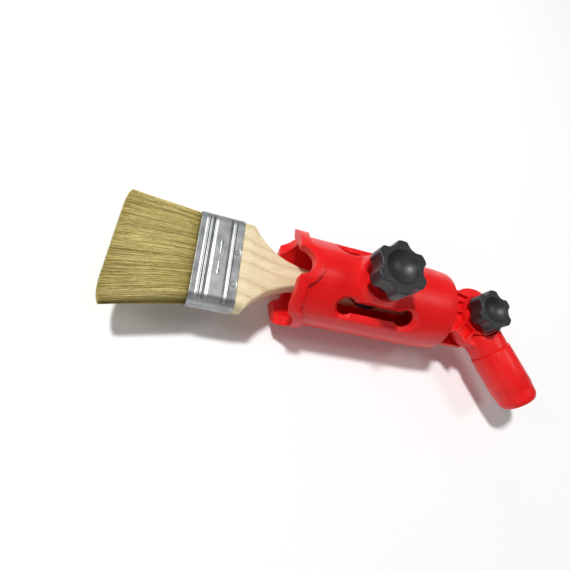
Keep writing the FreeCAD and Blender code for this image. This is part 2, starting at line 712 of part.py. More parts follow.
def pad_clip():
    """The open spring clip that keeps the stud in the pad."""
    low = "%s + pad_thick" % PAD_BOTTOM
    blank = rod("clip_blank", "clip_radius", "clip_thick", ("0", "0", low))
    under = low + " - 1"
    bore = rod("clip_bore", "stud_radius - 0.8 + thread_play", "clip_thick + 2", ("0", "0", under))
    mouth = box("clip_mouth", "0", "-1.6", under, "clip_radius + 1", "3.2", "clip_thick + 2")
    return cut("pad_clip", blank, bore, mouth)


# ---------------------------------------------------------------- swivel
def pivot_bolt():
    """The square-necked bolt that the holder swivels on."""
    owner = body("bolt_turned")
    profile = sketch(owner, "bolt_profile", "XZ_Plane")
    outline(profile, [
        ("0", "-ring_top - bolt_dome"),
        ("bolt_head * 0.55", "-ring_top - bolt_dome * 0.82"),
        ("bolt_head * 0.88", "-ring_top - bolt_dome * 0.45"),
        ("bolt_head", "-ring_top"),
        ("bolt_radius", "-ring_top"),
        ("bolt_radius", "bolt_top - 0.8"),
        ("bolt_radius - 0.8", "bolt_top"),
        ("0", "bolt_top"),
    ])
    turned(owner, "bolt_spun", "Revolution", profile, "V_Axis")
    neck = box("bolt_neck", "-bolt_square / 2", "-bolt_square / 2", "-ring_top",
               "bolt_square", "bolt_square", "ring_top - ear_gap")
    return fuse("pivot_bolt", owner, neck)


def friction_washers():
    """The thin washers between the ears and the swivel disc."""
    rings = []
    for side, low in (("upper", "ear_gap - friction_thick"), ("lower", "-ear_gap")):
        blank = rod(side + "_washer_blank", "friction_washer", "friction_thick", ("0", "0", low))
        bore = rod(side + "_washer_bore", "bolt_radius + clear_play", "2", ("0", "0", low + " - 0.5"))
        rings.append(cut(side + "_washer", blank, bore))
    return group("friction_washers", *rings)


def pivot_washer():
    """The flat washer under the swivel knob."""
    low = "ring_top + face_play"
    blank = rod("flat_blank", "washer_radius", "washer_thick", ("0", "0", low))
    bore = rod("flat_bore", "bolt_radius + thread_play", "washer_thick + 2", ("0", "0", low + " - 1"))
    return cut("pivot_washer", blank, bore)


HUB_BOTTOM = "ring_top + 2 * face_play + washer_thick"


def pivot_knob():
    """The small knob, moulded round its threaded insert."""
    blank = star_knob("small", "swivel_knob_radius", "swivel_knob_bottom", "swivel_knob_top",
                      "swivel_hub", HUB_BOTTOM)
    room = rod("insert_room", "insert_radius", "insert_height", ("0", "0", HUB_BOTTOM))
    bolt_room = rod("bolt_room", "bolt_radius + clear_play", "bolt_top + 0.8 - (%s)" % HUB_BOTTOM,
                    ("0", "0", HUB_BOTTOM))
    return cut("pivot_knob", blank, room, bolt_room)


def pivot_knob_insert():
    """The brass threaded insert of the small knob."""
    blank = rod("insert_blank", "insert_radius", "insert_height", ("0", "0", HUB_BOTTOM))
    start = ("0", "0", HUB_BOTTOM + " - 1")
    bore = rod("insert_bore", "bolt_radius + thread_play", "insert_height + 2", start)
    return cut("pivot_knob_insert", blank, bore)


def pole_socket():
    """The moulded pole socket: swivel disc, neck and threaded sleeve, along its own +X."""
    owner = body("socket_turned")
    profile = sketch(owner, "socket_profile", "XZ_Plane")
    outline(profile, [
        ("neck_start", "0"),
        ("neck_start", "neck_radius"),
        ("seam_reach - seam_groove", "neck_radius"),
        ("seam_reach", "neck_radius - seam_groove"),
        ("seam_reach + seam_groove", "sleeve_radius"),
        ("taper_reach", "sleeve_radius"),
        ("taper_reach + seam_groove", "sleeve_radius - 0.3"),
        ("socket_reach - 2.5", "taper_radius + 0.5"),
        ("socket_reach", "taper_radius - 1"),
        ("socket_reach", "thread_major"),
        ("socket_reach - thread_depth", "thread_major"),
        ("socket_reach - thread_depth - 3", "0"),
    ])
    turned(owner, "socket_spun", "Revolution", profile, "H_Axis")
    hollows = [
        rod("upper_hollow", "neck_hollow", "20", ("0", "0", "disc_half_thick")),
        rod("lower_hollow", "neck_hollow", "20", ("0", "0", "-disc_half_thick - 20")),
    ]
    disc = rod("swivel_disc", "disc_radius", "2 * disc_half_thick", ("0", "0", "-disc_half_thick"))
    hole = rod("disc_hole", "bolt_radius + pin_play", "20", ("0", "0", "-10"))
    return cut("pole_socket", fuse("socket_solid", cut("socket_neck", owner, *hollows), disc), hole)


# ---------------------------------------------------------------- brush
def section_bar(name, half_width, half_thick, corner, low, high):
    """A bar along X with a rounded rectangular section."""
    owner = body(name)
    section = sketch(owner, name + "_section", "YZ_Plane", low)
    outline(section, [
        ("-(%s) + %s" % (half_width, corner), "-(%s)" % half_thick),
        ("%s - %s" % (half_width, corner), "-(%s)" % half_thick, "-(%s)" % corner),
        (half_width, "-(%s) + %s" % (half_thick, corner)),
        (half_width, "%s - %s" % (half_thick, corner), "-(%s)" % corner),
        ("%s - %s" % (half_width, corner), half_thick),
        ("-(%s) + %s" % (half_width, corner), half_thick, "-(%s)" % corner),
        ("-(%s)" % half_width, "%s - %s" % (half_thick, corner)),
        ("-(%s)" % half_width, "-(%s) + %s" % (half_thick, corner), "-(%s)" % corner),
    ])
    pad(owner, name + "_pad", section, "%s - (%s)" % (high, low))
    return owner


def inner_bar(name, low, high):
    """The ferrule's inside as a solid between two places."""
    return section_bar(name, "ferrule_half_width - sheet_metal", "ferrule_half_thick - sheet_metal",
                       "(ferrule_corner - sheet_metal)", low, high)


def ferrule():
    """The sheet-metal band with its rolled ridges."""
    start, end = "ferrule_reach", "ferrule_reach + ferrule_length"
    band = section_bar("ferrule_band", "ferrule_half_width", "ferrule_half_thick", "ferrule_corner",
                       start, end)
    ridges = []
    for i, at in enumerate(("4.2", "ferrule_length - 7.4", "ferrule_length - 5.2")):
        low = "ferrule_reach + " + at
        ridges.append(section_bar("ridge%d" % i, "(ferrule_half_width + ridge_rise)",
                                  "(ferrule_half_thick + ridge_rise)", "(ferrule_corner + ridge_rise)",
                                  low, low + " + 1.1"))
    solid = fuse("ferrule_solid", band, *ridges)
    room = inner_bar("ferrule_room", start + " - 1", end + " + 1")
    return cut("ferrule", solid, room, *nails("ferrule_hole"))


def nails(name):
    """Two small nails on each face of the ferrule, heads outwards."""
    made = []
    for i, (across, side) in enumerate(((a, s) for a in ("-4.8", "14") for s in (1, -1))):
        head = rod("%s_head%d" % (name, i), "nail_radius", "0.5",
                   ("ferrule_reach + 2", across, "ferrule_half_thick - 0.2"))
        shank = rod("%s_shank%d" % (name, i), "nail_radius * 0.6", "nail_length",
                    ("ferrule_reach + 2", across, "ferrule_half_thick - nail_length"))
        nail = fuse("%s_nail%d" % (name, i), head, shank)
        made.append(nail if side > 0 else mirrored("%s_under%d" % (name, i), nail))
    return made


def brush_handle():
    """The wooden handle: a full-width block at the ferrule, a narrow neck and a flat tail."""
    start = "ferrule_reach + handle_tenon"
    full = "ferrule_half_width - handle_fit"
    plan_owner = body("handle_plan")
    plan = sketch(plan_owner, "handle_outline", "XY_Plane")
    hollow_end = "neck_half_width + handle_sweep - sqrt(handle_sweep^2 - neck_run^2)"
    half = [
        (start, full),
        ("block_reach", full, "handle_sweep"),
        ("neck_reach", "neck_half_width", "handle_sweep"),
        ("neck_reach - neck_run", hollow_end, "-grip_sweep"),
        ("grip_reach", "grip_half_width", "-tail_sweep"),
        ("tail_reach", "tail_half_width"),
    ]
    other = [(x, "-(%s)" % y) for x, y, *_ in reversed(half)]
    bends = [point[2:] for point in reversed(half)]
    far_side = [(x, y) + bend for (x, y), bend in zip(other, bends[1:] + [()])]
    half[-1] = half[-1] + ("-tail_round",)
    outline(plan, half + far_side)
    pad(plan_owner, "handle_plank", plan, "30", midplane=True)
    side_owner = body("handle_side")
    side = sketch(side_owner, "handle_profile", "XZ_Plane")
    block = "(ferrule_half_thick - handle_fit)"
    neck_end = "neck_reach + 4"
    run, drop = "((%s - grip_start) / 2)" % neck_end, "((handle_half_thick - grip_half_thick) / 2)"
    half_way = ("grip_start + " + run, "grip_half_thick + " + drop)
    sweep = "((%s^2 + %s^2) / (2 * %s))" % (run, drop, drop)
    outline(side, [
        (start, "-" + block),
        (start, block),
        ("block_reach", block, "face_sweep"),
        ("neck_reach + 15", "handle_half_thick"),
        (neck_end, "handle_half_thick", "-" + sweep),
        (*half_way, sweep),
        ("grip_start", "grip_half_thick"),
        ("tail_reach - 20", "grip_half_thick"),
        ("tail_reach - 20", "-grip_half_thick"),
        ("grip_start", "-grip_half_thick", sweep),
        (half_way[0], "-(%s)" % half_way[1], "-" + sweep),
        (neck_end, "-handle_half_thick"),
        ("neck_reach + 15", "-handle_half_thick", "face_sweep"),
        ("block_reach", "-" + block),
    ])
    pad(side_owner, "handle_slab", side, "80", midplane=True)
    section = inner_bar("handle_bar", "tail_reach - 30", start)
    blank = common("handle_sharp", plan_owner, side_owner, section)
    blank = edge_work("Fillet", "handle_blank", blank, long_edge, "handle_edge")
    hole = rod("hang_hole", "hang_hole", "20", ("hang_hole_reach", "0", "-10"))
    return cut("brush_handle", blank, hole, *nails("handle_hole"))


def long_edge(edge):
    """True for an edge between one of the handle's broad faces and its side, clear of the ferrule."""
    bounds = edge.BoundBox
    low, high = number("grip_half_thick") - 1e-4, number("handle_half_thick") + 1e-4
    on_face = all(low < abs(z) < high for z in (bounds.ZMin, bounds.ZMax))
    return on_face and bounds.ZMin * bounds.ZMax > 0 and bounds.YMin * bounds.YMax > 0


def divider_box(name):
    """The wooden spacer between the two tufts."""
    return box(name, "ferrule_reach + handle_tenon", "-divider_half_width", "-divider_thick / 2",
               "divider_length", "2 * divider_half_width", "divider_thick")


EPOXY_START = "ferrule_reach + handle_tenon"
EPOXY_END = "ferrule_reach + handle_tenon + epoxy_length"


def epoxy_set():
    """The epoxy that glues the bristles' roots together."""
    return cut("epoxy_set", inner_bar("epoxy_bar", EPOXY_START, EPOXY_END), divider_box("epoxy_slot"))


def bristle_half(name, side):
    """One tuft: its root inside the ferrule and its flared, chiselled length outside."""
    mouth = "ferrule_reach + ferrule_length"
    root = inner_bar(name + "_root", EPOXY_END, mouth)
    plan_owner = body(name + "_plan")
    plan = sketch(plan_owner, name + "_fan", "XY_Plane")
    wide = "(ferrule_half_width - 1)"
    outline(plan, [
        (mouth, "-" + wide),
        ("bristle_reach - bristle_skew", "bristle_lean - bristle_flare - " + wide),
        ("bristle_reach + bristle_skew", "bristle_lean + bristle_flare + " + wide),
        (mouth, wide),
    ])
    pad(plan_owner, name + "_fan_pad", plan, "40", midplane=True)
    side_owner = body(name + "_side")
    profile = sketch(side_owner, name + "_wedge", "XZ_Plane")
    thick = "(ferrule_half_thick - 1)"
    outline(profile, [
        (mouth, "-" + thick),
        (mouth, thick),
        (mouth + " + 14", thick + " + 0.8"),
        ("bristle_reach + bristle_skew", "bristle_tip_half"),
        ("bristle_reach + bristle_skew", "-bristle_tip_half"),
        (mouth + " + 14", "-%s - 0.8" % thick),
    ])
    pad(side_owner, name + "_wedge_pad", profile, "80", midplane=True)
    whole = fuse(name + "_whole", root, common(name + "_fanned", plan_owner, side_owner))
    low = "0" if side > 0 else "-20"
    room = box(name + "_room", "0", "-60", low, "400", "120", "20")
    return cut(name, common(name + "_side_half", whole, room), divider_box(name + "_slot"))


# ---------------------------------------------------------------- the pieces, in their places
def settle(piece, label, reach="0", across="0", turn="0"):
    """Name a piece after its node and move it from the swivel axis to its place."""
    piece.Label = label
    spot = ("%s + %s" % (ORIGIN_X, reach), "%s + %s" % (ORIGIN_Y, across), "0")
    return place(piece, *spot, None if turn == "0" else (0, 0, 1), turn)


def build():
    """Every sub-part, each with its own label and placement."""
    plain = {
        "clamp_tube": clamp_tube,
        "clamp_nut": clamp_nut,
        "pivot_bolt": pivot_bolt,
        "friction_washers": friction_washers,
        "pivot_washer": pivot_washer,
        "pivot_knob": pivot_knob,
        "pivot_knob_insert": pivot_knob_insert,
    }
    of_the_brush = {
        "brush_handle": brush_handle,
        "ferrule": ferrule,
        "ferrule_nails": lambda: group("ferrule_nails", *nails("loose")),
        "epoxy_set": epoxy_set,
        "bristle_divider": lambda: group("bristle_divider", divider_box("divider_blank")),
        "bristle_front": lambda: bristle_half("bristle_front", 1),
        "bristle_back": lambda: bristle_half("bristle_back", -1),
    }
    on_clamp_axis = {
        "clamp_knob": clamp_knob,
        "clamp_knob_core": clamp_knob_core,
        "clamp_stud": clamp_stud,
        "pressure_pad": pressure_pad,
        "pad_facing": pad_facing,
        "pad_clip": pad_clip,
    }
    pieces = [settle(make(), label) for label, make in plain.items()]
    pieces += [settle(make(), label, across="brush_shift") for label, make in of_the_brush.items()]
    pieces += [settle(make(), label, "clamp_reach") for label, make in on_clamp_axis.items()]
    pieces.append(settle(pole_socket(), "pole_socket", turn="180 - rest_swivel"))
    return pieces


def check(pieces):
    """Stop if any object failed or any piece isn't a sound solid."""
    for thing in doc.Objects:
        if "Invalid" in thing.State or "Error" in thing.State:
            raise SystemExit("failed object: %s %s" % (thing.Name, thing.State))
    for piece in pieces:
        shape = piece.Shape
        if shape.isNull() or not shape.isValid() or not shape.Solids:
            raise SystemExit("bad shape: " + piece.Label)


pieces = build()
doc.recompute()
check(pieces)
for piece in pieces:
    piece.Shape.exportStep("parts/%s.step" % piece.Label)
    print("%-18s %2d solid %9.1f mm3" % (piece.Label, len(piece.Shape.Solids), piece.Shape.Volume))
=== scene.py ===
"""Looks of the brush extender: finishes, bristles, embossed ferrule, screw threads and studio."""
import json
import math
import random

import bpy
from mathutils import Matrix, Vector


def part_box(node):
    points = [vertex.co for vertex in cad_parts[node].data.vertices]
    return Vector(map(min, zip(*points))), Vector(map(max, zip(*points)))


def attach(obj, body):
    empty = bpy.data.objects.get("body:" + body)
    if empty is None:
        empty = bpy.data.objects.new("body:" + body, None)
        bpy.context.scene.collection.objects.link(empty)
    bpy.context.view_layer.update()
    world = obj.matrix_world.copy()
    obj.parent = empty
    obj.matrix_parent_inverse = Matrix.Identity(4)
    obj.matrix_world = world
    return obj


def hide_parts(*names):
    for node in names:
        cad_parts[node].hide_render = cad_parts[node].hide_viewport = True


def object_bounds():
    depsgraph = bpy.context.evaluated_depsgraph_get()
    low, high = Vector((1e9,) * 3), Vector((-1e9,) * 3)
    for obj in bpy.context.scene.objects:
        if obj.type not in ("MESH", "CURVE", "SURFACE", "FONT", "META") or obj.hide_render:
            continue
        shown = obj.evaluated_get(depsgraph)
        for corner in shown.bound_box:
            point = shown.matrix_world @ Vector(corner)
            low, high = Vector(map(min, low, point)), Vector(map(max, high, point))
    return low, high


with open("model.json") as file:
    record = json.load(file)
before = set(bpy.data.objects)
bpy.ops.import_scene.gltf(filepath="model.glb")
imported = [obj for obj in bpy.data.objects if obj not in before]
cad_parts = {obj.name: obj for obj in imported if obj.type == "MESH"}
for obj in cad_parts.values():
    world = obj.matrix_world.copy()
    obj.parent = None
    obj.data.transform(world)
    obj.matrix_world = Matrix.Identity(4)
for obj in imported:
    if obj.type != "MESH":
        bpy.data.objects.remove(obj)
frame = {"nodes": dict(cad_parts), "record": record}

MM = 0.001
CAD_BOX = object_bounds()
NODES = frame["nodes"]


# ---------------------------------------------------------------- node helpers
def finish_of(name, **values):
    """A new material and its shader, with the values that are the same all over it."""
    made = bpy.data.materials.new(name)
    made.use_nodes = True
    shader = made.node_tree.nodes["Principled BSDF"]
    for socket, value in values.items():
        shader.inputs[socket.replace("_", " ")].default_value = value
    return made, shader


def add(made, kind, settings=None, **inputs):
    """One more node, with its settings and the values of its sockets."""
    node = made.node_tree.nodes.new("ShaderNode" + kind)
    for key, value in (settings or {}).items():
        setattr(node, key, value)
    for key, value in inputs.items():
        node.inputs[key.replace("_", " ")].default_value = value
    return node


def join(made, source, target):
    """A link between two sockets."""
    made.node_tree.links.new(source, target)


def stretched(made, scale):
    """The piece's own coordinates in metres, with each axis multiplied."""
    place = add(made, "TexCoord")
    mapping = add(made, "Mapping", Scale=scale)
    join(made, place.outputs["Object"], mapping.inputs["Vector"])
    return mapping.outputs["Vector"]


def noise(made, scale, detail=3.0, roughness=0.55, distortion=0.0):
    """A noise whose features have a length of 1 / scale along each axis."""
    node = add(made, "TexNoise", Scale=1.0, Detail=detail, Roughness=roughness, Distortion=distortion)
    join(made, stretched(made, scale), node.inputs["Vector"])
    return node.outputs["Fac"]


def ramp(made, factor, stops):
    """A colour ramp over a factor, given as (place, colour) stops."""
    node = add(made, "ValToRGB")
    join(made, factor, node.inputs["Fac"])
    steps = node.color_ramp.elements
    while len(steps) < len(stops):
        steps.new(0.5)
    for step, (place, colour) in zip(steps, stops):
        step.position = place
        step.color = (*colour, 1.0)
    return node.outputs["Color"]


def spread(made, factor, low, high):
    """A factor whose usual range becomes low to high."""
    node = add(made, "MapRange", {"clamp": True}, From_Min=0.3, From_Max=0.7, To_Min=low, To_Max=high)
    join(made, factor, node.inputs["Value"])
    return node.outputs["Result"]


def blend_colours(made, factor, first, second, kind="MIX"):
    """Two colours or colour sockets mixed by a factor."""
    node = add(made, "Mix", {"data_type": "RGBA", "blend_type": kind})
    colours = [socket for socket in node.inputs if socket.type == "RGBA"]
    for target, source in zip([node.inputs[0], *colours], [factor, first, second]):
        if isinstance(source, (tuple, float)):
            target.default_value = source if isinstance(source, float) else (*source, 1.0)
        else:
            join(made, source, target)
    return [socket for socket in node.outputs if socket.type == "RGBA"][0]


def relief(made, shader, *layers):
    """Bumps laid over each other, each a height and its depth in millimetres."""
    normal = None
    for height, depth in layers:
        bump = add(made, "Bump", Strength=1.0, Distance=depth * MM)
        join(made, height, bump.inputs["Height"])
        if normal is not None:
            join(made, normal, bump.inputs["Normal"])
        normal = bump.outputs["Normal"]
    join(made, normal, shader.inputs["Normal"])


# ---------------------------------------------------------------- finishes
def moulded(name, dark, light, rough, grain_depth=0.006, gloss=0.5):
    """Moulded plastic: slow changes of tone and gloss, a fine skin and faint flow marks."""
    made, shader = finish_of(name, Specular_IOR_Level=gloss)
    tone = noise(made, (60, 60, 60), 4.0)
    join(made, ramp(made, tone, [(0.3, dark), (0.7, light)]), shader.inputs["Base Color"])
    join(made, spread(made, noise(made, (180, 180, 180), 5.0), *rough), shader.inputs["Roughness"])
    skin = noise(made, (2600, 2600, 2600), 2.0)
    flow = noise(made, (90, 420, 420), 2.0, distortion=0.4)
    relief(made, shader, (skin, grain_depth), (flow, 3 * grain_depth))
    return made


def red_plastic():
    """The red of the tube and the pole socket."""
    return moulded("red_plastic", (0.72, 0.005, 0.006), (0.82, 0.009, 0.009), (0.32, 0.42), gloss=0.36)


def knob_plastic():
    """The charcoal of the star knobs."""
    return moulded("knob_plastic", (0.014, 0.015, 0.017), (0.023, 0.024, 0.027), (0.36, 0.50), 0.010)


def pad_plastic():
    """The black of the pressure pad."""
    return moulded("pad_plastic", (0.012, 0.012, 0.013), (0.022, 0.022, 0.023), (0.42, 0.58), 0.008)


def nylon():
    """Natural nylon: milky, with a little light passing into it."""
    made = moulded("washer_nylon", (0.66, 0.63, 0.55), (0.76, 0.74, 0.67), (0.38, 0.5), 0.004)
    shader = made.node_tree.nodes["Principled BSDF"]
    shader.inputs["Subsurface Weight"].default_value = 0.15
    shader.inputs["Subsurface Scale"].default_value = 0.8 * MM
    return made


def rubber():
    """Matt rubber with a pebbled skin."""
    made, shader = finish_of("facing_rubber", Specular_IOR_Level=0.3)
    tone = noise(made, (150, 150, 150), 4.0)
    colours = [(0.3, (0.016, 0.016, 0.016)), (0.7, (0.034, 0.033, 0.032))]
    join(made, ramp(made, tone, colours), shader.inputs["Base Color"])
    join(made, spread(made, tone, 0.75, 0.9), shader.inputs["Roughness"])
    relief(made, shader, (noise(made, (1400, 1400, 1400), 3.0), 0.03))
    return made


def metal(name, dark, light, rough, scratch_scale, scratch_depth=0.003, mottle=260):
    """A metal skin: mottled tone and gloss, with scratches or brushing drawn out along one way."""
    made, shader = finish_of(name, Metallic=1.0)
    patches = noise(made, (mottle, mottle, mottle), 5.0)
    join(made, ramp(made, patches, [(0.3, dark), (0.7, light)]), shader.inputs["Base Color"])
    scratches = noise(made, scratch_scale, 4.0, 0.65)
    both = blend_colours(made, 0.5, patches, scratches)
    join(made, spread(made, both, *rough), shader.inputs["Roughness"])
    relief(made, shader, (scratches, scratch_depth), (patches, 2 * scratch_depth))
    return made


def tinned_steel():
    """Rolled tinplate: bright and faintly streaked along the brush's width."""
    return metal("tinned_steel", (0.30, 0.31, 0.32), (0.44, 0.45, 0.45), (0.36, 0.50),
                 (1800, 60, 60), 0.002, 140)


def zinc_steel():
    """Bright zinc plate with turning marks."""
    return metal("zinc_steel", (0.52, 0.53, 0.55), (0.66, 0.67, 0.68), (0.22, 0.40), (300, 300, 3200))


def spring_steel():
    """Dark phosphated spring steel."""
    return metal("spring_steel", (0.10, 0.10, 0.10), (0.18, 0.17, 0.16), (0.40, 0.56), (900, 900, 900))


def nail_steel():
    """Plain bright wire."""
    return metal("nail_steel", (0.36, 0.36, 0.37), (0.52, 0.52, 0.52), (0.30, 0.46), (2200, 700, 700))


def brass():
    """Machined brass with fine turning marks and slight tarnish."""
    return metal("insert_brass", (0.46, 0.28, 0.09), (0.66, 0.46, 0.18), (0.26, 0.42), (300, 300, 3600))


def wood(name, pale, middle, dark, ring_width, depth):
    """Plain sawn wood along X: growth rings, fine fibres, pores and worn tone."""
    made, shader = finish_of(name, Specular_IOR_Level=0.32)
    wander = add(made, "TexWave", {"bands_direction": "DIAGONAL"}, Scale=0.314 / (ring_width * MM),
                 Distortion=5.0, Detail=3.0, Detail_Scale=0.7, Detail_Roughness=0.6)
    join(made, stretched(made, (0.10, 1.0, 1.0)), wander.inputs["Vector"])
    rings = ramp(made, wander.outputs["Fac"], [(0.0, pale), (0.72, middle), (1.0, dark)])
    fibres = noise(made, (70, 2600, 2600), 4.0, 0.6)
    fibre_tone = ramp(made, fibres, [(0.36, (0.86, 0.83, 0.76)), (0.62, (1.0, 1.0, 1.0))])
    grained = blend_colours(made, 1.0, rings, fibre_tone, "MULTIPLY")
    pores = noise(made, (160, 3800, 3800), 2.0, 0.5)
    pore_tone = ramp(made, pores, [(0.30, (0.66, 0.56, 0.42)), (0.37, (1.0, 1.0, 1.0))])
    pored = blend_colours(made, 0.8, grained, pore_tone, "MULTIPLY")
    cloud = ramp(made, noise(made, (18, 55, 55), 3.0), [(0.3, (0.90, 0.88, 0.83)), (0.7, (1.0, 1.0, 1.0))])
    join(made, blend_colours(made, 1.0, pored, cloud, "MULTIPLY"), shader.inputs["Base Color"])
    join(made, spread(made, fibres, 0.52, 0.70), shader.inputs["Roughness"])
    relief(made, shader, (fibres, depth), (pores, depth))
    return made


def handle_wood():
    """Plain sanded birch."""
    return wood("handle_wood", (0.88, 0.78, 0.54), (0.84, 0.73, 0.49), (0.75, 0.62, 0.39), 4.2, 0.008)


def divider_wood():
    """The rough wood of the spacer between the tufts."""
    return wood("divider_wood", (0.52, 0.38, 0.20), (0.44, 0.31, 0.15), (0.30, 0.20, 0.09), 3.0, 0.03)


def epoxy():
    """Set epoxy: dark amber with bubbles in it."""
    made, shader = finish_of("epoxy", Specular_IOR_Level=0.5, Coat_Weight=0.3, Coat_Roughness=0.15)
    cloud = noise(made, (220, 220, 220), 4.0)
    colours = [(0.3, (0.085, 0.045, 0.012)), (0.7, (0.16, 0.095, 0.03))]
    join(made, ramp(made, cloud, colours), shader.inputs["Base Color"])
    join(made, spread(made, cloud, 0.18, 0.34), shader.inputs["Roughness"])
    bubbles = add(made, "TexVoronoi", Scale=1.0)
    join(made, stretched(made, (900, 900, 900)), bubbles.inputs["Vector"])
    relief(made, shader, (bubbles.outputs["Distance"], 0.03))
    return made


def bristle():
    """Natural bristle: each hair has its own tone, a little darker along the part nearest its root."""
    made, shader = finish_of("bristle", Specular_IOR_Level=0.35)
    tone = add(made, "Attribute", {"attribute_name": "tone"})
    along = add(made, "Attribute", {"attribute_name": "along"})
    hair = ramp(made, tone.outputs["Fac"], [
        (0.00, (0.300, 0.205, 0.050)),
        (0.20, (0.560, 0.440, 0.135)),
        (0.60, (0.740, 0.620, 0.225)),
        (1.00, (0.860, 0.760, 0.350)),
    ])
    # each hair is darkened a little from its root up to 0.4 of its length
    darker_root = [(0.0, (0.88, 0.85, 0.76)), (0.4, (1.0, 1.0, 1.0)), (1.0, (1.0, 1.0, 1.0))]
    end = ramp(made, along.outputs["Fac"], darker_root)
    streaks = noise(made, (240, 2800, 2800), 3.0)
    mottled = ramp(made, streaks, [(0.32, (0.58, 0.53, 0.40)), (0.52, (1.0, 1.0, 1.0))])
    coloured = blend_colours(made, 1.0, hair, end, "MULTIPLY")
    join(made, blend_colours(made, 1.0, coloured, mottled, "MULTIPLY"), shader.inputs["Base Color"])
    join(made, spread(made, noise(made, (900, 2600, 2600)), 0.42, 0.62), shader.inputs["Roughness"])
    relief(made, shader, (noise(made, (2600, 9000, 9000), 2.0), 0.006))
    return made


def floor_paper():
    """Plain near-white paper with the faintest tooth."""
    made, shader = finish_of("floor_paper", Specular_IOR_Level=0.2)
    tooth = noise(made, (700, 700, 700), 4.0)
    colours = [(0.3, (0.93, 0.93, 0.93)), (0.7, (0.96, 0.96, 0.96))]
    join(made, ramp(made, tooth, colours), shader.inputs["Base Color"])
    join(made, spread(made, tooth, 0.8, 0.95), shader.inputs["Roughness"])
    return made


FINISHES = {
    "red_plastic": red_plastic(),
    "knob_plastic": knob_plastic(),
    "pad_plastic": pad_plastic(),
    "facing_rubber": rubber(),
    "zinc_steel": zinc_steel(),
    "spring_steel": spring_steel(),
    "washer_nylon": nylon(),
    "insert_brass": brass(),
    "handle_wood": handle_wood(),
    "tinned_steel": tinned_steel(),
    "nail_steel": nail_steel(),
    "epoxy": epoxy(),
    "divider_wood": divider_wood(),
    "bristle": bristle(),
}


def paint_nodes():
    """Every carried-over CAD node gets the finish of its material slot."""
    for part in frame["record"]["subparts"]:
        node = NODES[part["node"]]
        for i in range(len(node.material_slots)):
            node.data.materials[i] = FINISHES[part["material_slot"]]


# ---------------------------------------------------------------- softened edges
# width of the rounded edge on each node, in millimetres
EDGE_WIDTHS = {
    "clamp_tube": 0.40,
    "pole_socket": 0.40,
    "brush_handle": 0.30,
    "clamp_knob": 0.25,
    "pivot_knob": 0.25,
    "pressure_pad": 0.20,
    "clamp_nut": 0.15,
    "pivot_washer": 0.12,
    "pivot_bolt": 0.12,
    "friction_washers": 0.10,
}


def soften(node, width):
    """Round a node's sharp edges with modifiers, which leave its own mesh alone."""
    weld = node.modifiers.new("weld", "WELD")
    weld.merge_threshold = 0.002 * MM
    bevel = node.modifiers.new("soft_edges", "BEVEL")
    bevel.width = width * MM
    bevel.segments = 3
    bevel.limit_method = "ANGLE"
    bevel.angle_limit = math.radians(35)
    bevel.use_clamp_overlap = True
    bevel.harden_normals = True


# ---------------------------------------------------------------- mesh helpers
def piece(name, points, faces, finish, body, node=None):
    """A smooth-shaded mesh that rides on a body and may stand for a CAD node."""
    mesh = bpy.data.meshes.new(name)
    mesh.from_pydata(points, [], faces)
    mesh.materials.append(FINISHES[finish])
    mesh.shade_smooth()
    made = bpy.data.objects.new(name, mesh)
    bpy.context.scene.collection.objects.link(made)
    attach(made, body)
    if node is not None:
        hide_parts(node)
    return made


def grid_faces(rows, columns):
    """The faces of a tube of rows, each row a closed ring of columns points."""
    faces = []
    for row in range(rows - 1):
        for column in range(columns):
            after = (column + 1) % columns
            low, high = row * columns, (row + 1) * columns
            faces.append((low + column, low + after, high + after, high + column))
    return faces


def smooth_step(low, high, value):
    """0 below low, 1 above high and a smooth rise between."""
    share = min(1.0, max(0.0, (value - low) / (high - low)))
    return share * share * (3.0 - 2.0 * share)


def hump(centre, half_width, value):
    """A rounded ridge of height 1."""
    return 1.0 - smooth_step(0.0, half_width, abs(value - centre))


# ---------------------------------------------------------------- bristles
# hair radius and tip skew are in millimetres
HAIRS_PER_TUFT = 5600
HAIR_RADIUS = 0.15
HAIR_RINGS = 7
TIP_SKEW = 1.7


class Tuft:
    """The room that one tuft's hairs fill, from the CAD solid's box."""

    def __init__(self, node, side):
        low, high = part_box(node)
        band_low, band_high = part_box("ferrule")
        self.side = side
        self.root = band_high.x - 1.5 * MM
        self.length = high.x - self.root - TIP_SKEW * MM
        self.root_middle = (band_low.y + band_high.y) / 2
        self.tip_middle = (low.y + high.y) / 2
        self.tip_half = (high.y - low.y) / 2 - 0.25 * MM
        self.root_half = (band_high.y - band_low.y) / 2 - 1.75 * MM
        self.root_thick = 7.2 * MM
        self.belly = 8.0 * MM
        self.tip_thick = 5.3 * MM

    def spot(self, across, out, along):
        """Where a hair lies: across from -1 to 1, out from 0 to 1, along from 0 to 1."""
        open_out = along ** 1.15
        half = self.root_half + (self.tip_half - self.root_half) * open_out
        swell = self.root_thick + (self.belly - self.root_thick) * math.sin(math.pi * min(1.0, along * 1.4))
        thick = swell + (self.tip_thick - self.root_thick) * along ** 1.6
        square = 1.0 - 0.12 * out ** 4
        middle = self.root_middle + (self.tip_middle - self.root_middle) * open_out
        reach = self.length * along + TIP_SKEW * MM * across * along ** 2
        return Vector((self.root + reach, middle + across * half * square, self.side * out * thick))


